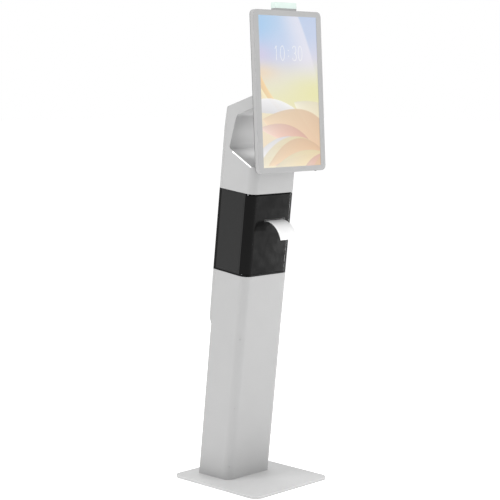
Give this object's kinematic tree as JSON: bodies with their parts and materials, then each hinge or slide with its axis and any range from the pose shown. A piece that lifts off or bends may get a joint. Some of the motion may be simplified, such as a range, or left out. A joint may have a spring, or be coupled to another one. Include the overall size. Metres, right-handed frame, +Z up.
{
  "type": "touchscreen kiosk",
  "caption": "Free-standing touchscreen kiosk: tilting portrait screen on a forward-leaning column with an open head, a lockable receipt printer bay and a flat floor plate.",
  "frame": {"origin": "centre of the base, on the floor", "axes": "+Z up, -Y towards the visitor who faces the screen, +X to that visitor's right"},
  "size_m": [0.3556, 0.395, 1.5777],
  "materials": {
    "panel_grey": "fine-textured powder coat, pale grey",
    "plate_grey": "smooth powder coat, pale grey, slightly glossy",
    "bay_black": "satin black powder coat",
    "bay_panel": "satin charcoal panel",
    "door_black": "semi-gloss black",
    "bezel_grey": "fine-textured powder coat, pale grey",
    "glass": "anti-glare cover glass",
    "screen": "lit display panel",
    "steel": "zinc-plated steel",
    "bright_steel": "nickel-plated steel",
    "rubber": "black rubber",
    "black_plastic": "moulded black plastic",
    "shell_black": "textured moulded plastic",
    "board_green": "circuit board",
    "paper": "thermal paper",
    "core": "grey-brown cardboard",
    "light_white": "opal diffuser",
    "light_mint": "translucent lit lens",
    "aluminium": "anodised aluminium"
  },
  "bodies": {
    "stand": {"base_pads": "rubber", "base_plate": "plate_grey", "bay_floor": "bay_black", "bay_left_panel": "bay_panel", "bay_rear_cover": "bay_black", "bay_right_panel": "bay_panel", "bay_roof": "bay_black", "column_rear_panel": "panel_grey", "column_shell": "panel_grey", "computer": "aluminium", "cover_screws": "steel", "cutter_guides": "black_plastic", "equipment_plate": "steel", "feed_motor": "bay_black", "foot_bolts": "steel", "head_frame": "steel", "head_rear_cover": "panel_grey", "head_shell": "panel_grey", "head_top_cover": "panel_grey", "hinge_pins": "bright_steel", "light_strips": "light_white", "lock_barrel": "bright_steel", "lower_rear_cover": "panel_grey", "network_jack": "black_plastic", "paper_web": "paper", "power_inlet": "black_plastic", "power_supply": "aluminium", "printer_board": "board_green", "printer_frame": "steel", "printer_stand": "steel", "recess_liner": "panel_grey", "roll_cradle": "steel", "roll_spindle": "steel", "spine_frame": "steel", "thermal_head": "aluminium", "tilt_pin": "bright_steel"},
    "door": {"printer_door": "door_black", "slot_bezel": "black_plastic", "receipt": "paper", "lock_catch": "steel"},
    "lock_cam": {"lock_cam": "steel"},
    "platen": {"platen_roller": "rubber", "platen_shaft": "steel"},
    "pinion": {"motor_pinion": "bright_steel"},
    "cutter": {"cutter_blade": "bright_steel"},
    "roll": {"paper_roll": "paper", "roll_core": "core"},
    "feed_button": {"feed_button": "black_plastic"},
    "switch_rocker": {"power_switch": "black_plastic"},
    "screen": {"display_bezel": "bezel_grey", "touch_glass": "glass", "lcd_panel": "screen", "display_tray": "steel", "display_rear_shell": "shell_black", "display_board": "board_green", "vesa_plate": "steel", "vesa_screws": "steel", "status_light_base": "bezel_grey", "status_light_lens": "light_mint"},
    "screen_button": {"screen_button": "black_plastic"}
  },
  "joints": [
    {"name": "door_hinge", "type": "hinge", "parent": "stand", "child": "door", "pos_m": [-0.0993, -0.07042, 0.83732], "axis": [0, 0.116, -0.9933], "range_deg": [0, 100]},
    {"name": "lock_turn", "type": "hinge", "parent": "stand", "child": "lock_cam", "pos_m": [0.085, -0.03553, 0.79458], "axis": [-1, 0, 0], "range_deg": [0, 90]},
    {"name": "platen_turn", "type": "hinge", "parent": "stand", "child": "platen", "pos_m": [0.012, -0.06051, 0.87744], "axis": [1, 0, 0], "continuous": true},
    {"name": "pinion_turn", "type": "hinge", "parent": "stand", "child": "pinion", "pos_m": [0.0575, -0.04844, 0.87885], "axis": [1, 0, 0], "continuous": true},
    {"name": "cutter_stroke", "type": "slide", "parent": "stand", "child": "cutter", "axis": [0, 0.116, -0.9933], "range_m": [0, 0.005]},
    {"name": "roll_turn", "type": "hinge", "parent": "stand", "child": "roll", "pos_m": [0.012, -0.01957, 0.76825], "axis": [1, 0, 0], "continuous": true},
    {"name": "feed_button_press", "type": "slide", "parent": "stand", "child": "feed_button", "axis": [0, 0.9933, 0.116], "range_m": [0, 0.002], "stiffness_N_per_m": 400, "springref_m": -0.0005},
    {"name": "switch_rock", "type": "hinge", "parent": "stand", "child": "switch_rocker", "pos_m": [0.022, 0.13045, 0.08705], "axis": [1, 0, 0], "range_deg": [-8, 8]},
    {"name": "screen_tilt", "type": "hinge", "parent": "stand", "child": "screen", "pos_m": [0, -0.1181, 1.26719], "axis": [-1, 0, 0], "range_deg": [-5, 15]},
    {"name": "screen_button_press", "type": "slide", "parent": "screen", "child": "screen_button", "axis": [0, 0.0529, 0.9986], "range_m": [0, 0.0008], "stiffness_N_per_m": 400, "springref_m": -0.001}
  ],
  "couplings": [
    {"joint": "pinion_turn", "follows": "platen_turn", "ratio": -2}
  ]
}
